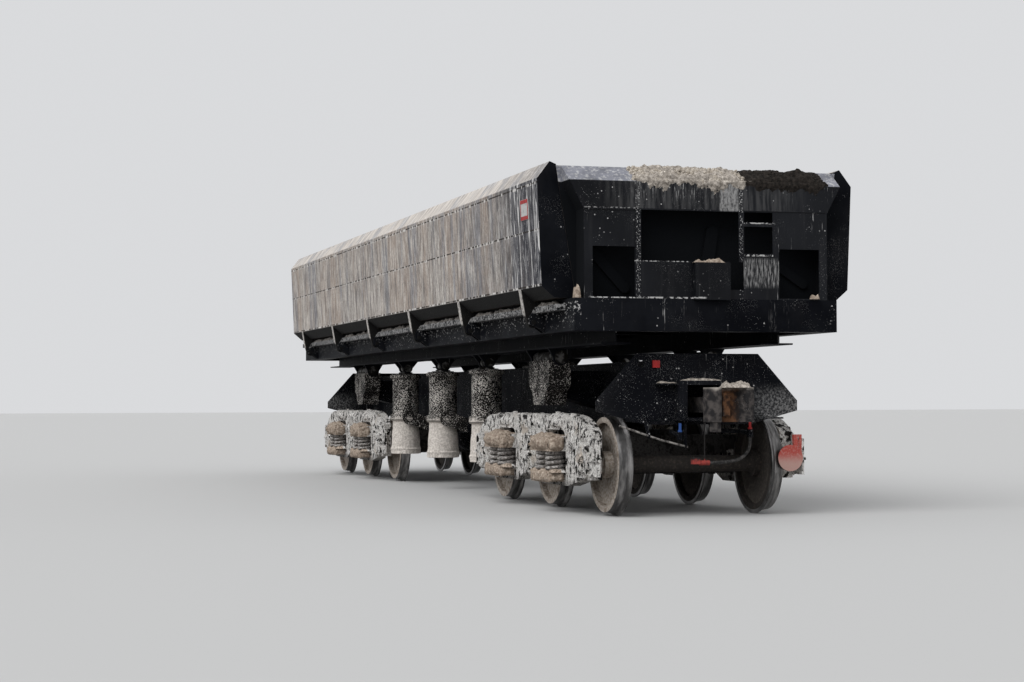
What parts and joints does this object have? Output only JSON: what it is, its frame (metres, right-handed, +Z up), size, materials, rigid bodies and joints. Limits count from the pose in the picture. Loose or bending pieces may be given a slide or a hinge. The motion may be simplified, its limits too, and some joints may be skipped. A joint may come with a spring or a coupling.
{
  "type": "side-tipping dump wagon",
  "caption": "Open railway wagon whose long body tips to either side over pivot saddles, lifted by telescopic cylinders, on two three-axle bogies.",
  "frame": {"origin": "under the wagon's middle, at the lowest point of the wheel flanges", "axes": "+X towards the front end, +Y to the left side, +Z up"},
  "size_m": [14.8568, 3.282, 3.428],
  "materials": {
    "frame_paint": "dark blue-black paint with pale splashes",
    "body_paint": "dark blue-black paint with pale drips",
    "board_mud": "dark paint under a thick coat of dried pale mud",
    "bogie_mud": "cast steel under splashed pale mud",
    "cylinder_mud": "painted steel under splashed pale mud",
    "wheel_steel": "muddy wheel discs with polished treads",
    "coupler_rust": "rusty cast steel",
    "pin_steel": "greasy steel",
    "spring_steel": "muddy spring steel",
    "rubber_hose": "dusty rubber",
    "signal_red": "faded red enamel",
    "cock_red": "red paint",
    "cock_blue": "blue paint"
  },
  "bodies": {
    "underframe": {"centre_sill": "frame_paint", "end_plate_front": "frame_paint", "end_plate_rear": "frame_paint", "striker_front": "frame_paint", "striker_rear": "frame_paint", "draft_gear_front": "frame_paint", "draft_gear_rear": "frame_paint", "bolster_arms": "frame_paint", "pivot_saddles": "cylinder_mud", "centre_plates": "frame_paint", "cylinder_beams": "frame_paint", "trunnion_ears": "frame_paint", "air_reservoirs": "frame_paint", "uncoupling_rods": "frame_paint", "air_pipes": "frame_paint", "cock_handles_red": "cock_red", "cock_handles_blue": "cock_blue", "brake_hose_front": "rubber_hose", "brake_hose_rear": "rubber_hose", "hose_head_front": "cock_red", "hose_head_rear": "cock_red"},
    "tipping_pins": {"tip_pins_right": "pin_steel"},
    "tipping_body": {"tip_pins_left": "pin_steel", "upper_frame": "body_paint", "tip_lugs": "body_paint", "floor": "body_paint", "end_wall_front": "body_paint", "end_wall_rear": "body_paint"},
    "coupler_front": {"coupler_front": "coupler_rust"},
    "bogie_front": {"side_frames_front": "bogie_mud", "axle_boxes_front": "bogie_mud", "bogie_bolster_front": "bogie_mud", "springs_front": "spring_steel", "brake_gear_front": "bogie_mud", "tail_disc": "signal_red"},
    "coupler_rear": {"coupler_rear": "coupler_rust"},
    "bogie_rear": {"side_frames_rear": "bogie_mud", "axle_boxes_rear": "bogie_mud", "bogie_bolster_rear": "bogie_mud", "springs_rear": "spring_steel", "brake_gear_rear": "bogie_mud"},
    "wheelset_1": {"wheelset_1": "wheel_steel"},
    "wheelset_2": {"wheelset_2": "wheel_steel"},
    "wheelset_3": {"wheelset_3": "wheel_steel"},
    "wheelset_4": {"wheelset_4": "wheel_steel"},
    "wheelset_5": {"wheelset_5": "wheel_steel"},
    "wheelset_6": {"wheelset_6": "wheel_steel"},
    "side_board_right": {"side_board_right": "board_mud", "board_ends_right": "body_paint"},
    "barrels_right": {"cylinder_barrels_right": "cylinder_mud"},
    "stages_right": {"cylinder_stages_right": "pin_steel"},
    "rods_right": {"cylinder_rods_right": "pin_steel"},
    "side_board_left": {"side_board_left": "board_mud", "board_ends_left": "body_paint"},
    "barrels_left": {"cylinder_barrels_left": "cylinder_mud"},
    "stages_left": {"cylinder_stages_left": "pin_steel"},
    "rods_left": {"cylinder_rods_left": "pin_steel"}
  },
  "joints": [
    {"name": "tip_left", "type": "hinge", "parent": "underframe", "child": "tipping_pins", "pos_m": [0, 0.85, 1.588], "axis": [-1, 0, 0], "range_deg": [0, 45]},
    {"name": "tip_right", "type": "hinge", "parent": "tipping_pins", "child": "tipping_body", "pos_m": [0, -0.85, 1.588], "axis": [-1, 0, 0], "range_deg": [-45, 0]},
    {"name": "board_left_hinge", "type": "hinge", "parent": "tipping_body", "child": "side_board_left", "pos_m": [0, 1.47, 1.908], "axis": [-1, 0, 0], "range_deg": [0, 81.3]},
    {"name": "board_right_hinge", "type": "hinge", "parent": "tipping_body", "child": "side_board_right", "pos_m": [0, -1.47, 1.908], "axis": [-1, 0, 0], "range_deg": [-81.3, 0]},
    {"name": "cylinder_swing_right", "type": "hinge", "parent": "underframe", "child": "barrels_right", "pos_m": [0, -0.85, 0.908], "axis": [-1, 0, 0], "range_deg": [0, 14.82]},
    {"name": "stage_slide_right", "type": "slide", "parent": "barrels_right", "child": "stages_right", "axis": [0, 0, 1], "range_m": [0, 0.63342]},
    {"name": "rod_slide_right", "type": "slide", "parent": "stages_right", "child": "rods_right", "axis": [0, 0, 1], "range_m": [0, 0.63342]},
    {"name": "cylinder_swing_left", "type": "hinge", "parent": "underframe", "child": "barrels_left", "pos_m": [0, 0.85, 0.908], "axis": [-1, 0, 0], "range_deg": [-14.82, 0]},
    {"name": "stage_slide_left", "type": "slide", "parent": "barrels_left", "child": "stages_left", "axis": [0, 0, 1], "range_m": [0, 0.63342]},
    {"name": "rod_slide_left", "type": "slide", "parent": "stages_left", "child": "rods_left", "axis": [0, 0, 1], "range_m": [0, 0.63342]},
    {"name": "bogie_front_turn", "type": "hinge", "parent": "underframe", "child": "bogie_front", "pos_m": [4.675, 0, 0.888], "axis": [0, 0, 1], "range_deg": [-3.5, 3.5]},
    {"name": "coupler_front_swing", "type": "hinge", "parent": "underframe", "child": "coupler_front", "pos_m": [6.42, 0, 1.088], "axis": [0, 0, 1], "range_deg": [-15, 1]},
    {"name": "bogie_rear_turn", "type": "hinge", "parent": "underframe", "child": "bogie_rear", "pos_m": [-4.675, 0, 0.888], "axis": [0, 0, 1], "range_deg": [-3.5, 3.5]},
    {"name": "coupler_rear_swing", "type": "hinge", "parent": "underframe", "child": "coupler_rear", "pos_m": [-6.42, 0, 1.088], "axis": [0, 0, 1], "range_deg": [-15, 1]},
    {"name": "wheelset_1_roll", "type": "hinge", "parent": "bogie_front", "child": "wheelset_1", "pos_m": [6.475, 0, 0.503], "axis": [0, 1, 0], "continuous": true},
    {"name": "wheelset_2_roll", "type": "hinge", "parent": "bogie_front", "child": "wheelset_2", "pos_m": [4.675, 0, 0.503], "axis": [0, 1, 0], "continuous": true},
    {"name": "wheelset_3_roll", "type": "hinge", "parent": "bogie_front", "child": "wheelset_3", "pos_m": [2.875, 0, 0.503], "axis": [0, 1, 0], "continuous": true},
    {"name": "wheelset_4_roll", "type": "hinge", "parent": "bogie_rear", "child": "wheelset_4", "pos_m": [-6.475, 0, 0.503], "axis": [0, 1, 0], "continuous": true},
    {"name": "wheelset_5_roll", "type": "hinge", "parent": "bogie_rear", "child": "wheelset_5", "pos_m": [-4.675, 0, 0.503], "axis": [0, 1, 0], "continuous": true},
    {"name": "wheelset_6_roll", "type": "hinge", "parent": "bogie_rear", "child": "wheelset_6", "pos_m": [-2.875, 0, 0.503], "axis": [0, 1, 0], "continuous": true}
  ],
  "couplings": [
    {"joint": "board_left_hinge", "follows": "tip_left", "ratio": 1.8067},
    {"joint": "board_right_hinge", "follows": "tip_right", "ratio": 1.8067},
    {"joint": "cylinder_swing_right", "follows": "tip_left", "ratio": 0.3293},
    {"joint": "stage_slide_right", "follows": "tip_left", "m_per_rad": 0.80649},
    {"joint": "rod_slide_right", "follows": "tip_left", "m_per_rad": 0.80649},
    {"joint": "cylinder_swing_left", "follows": "tip_right", "ratio": 0.3293},
    {"joint": "stage_slide_left", "follows": "tip_right", "m_per_rad": -0.80649},
    {"joint": "rod_slide_left", "follows": "tip_right", "m_per_rad": -0.80649}
  ]
}
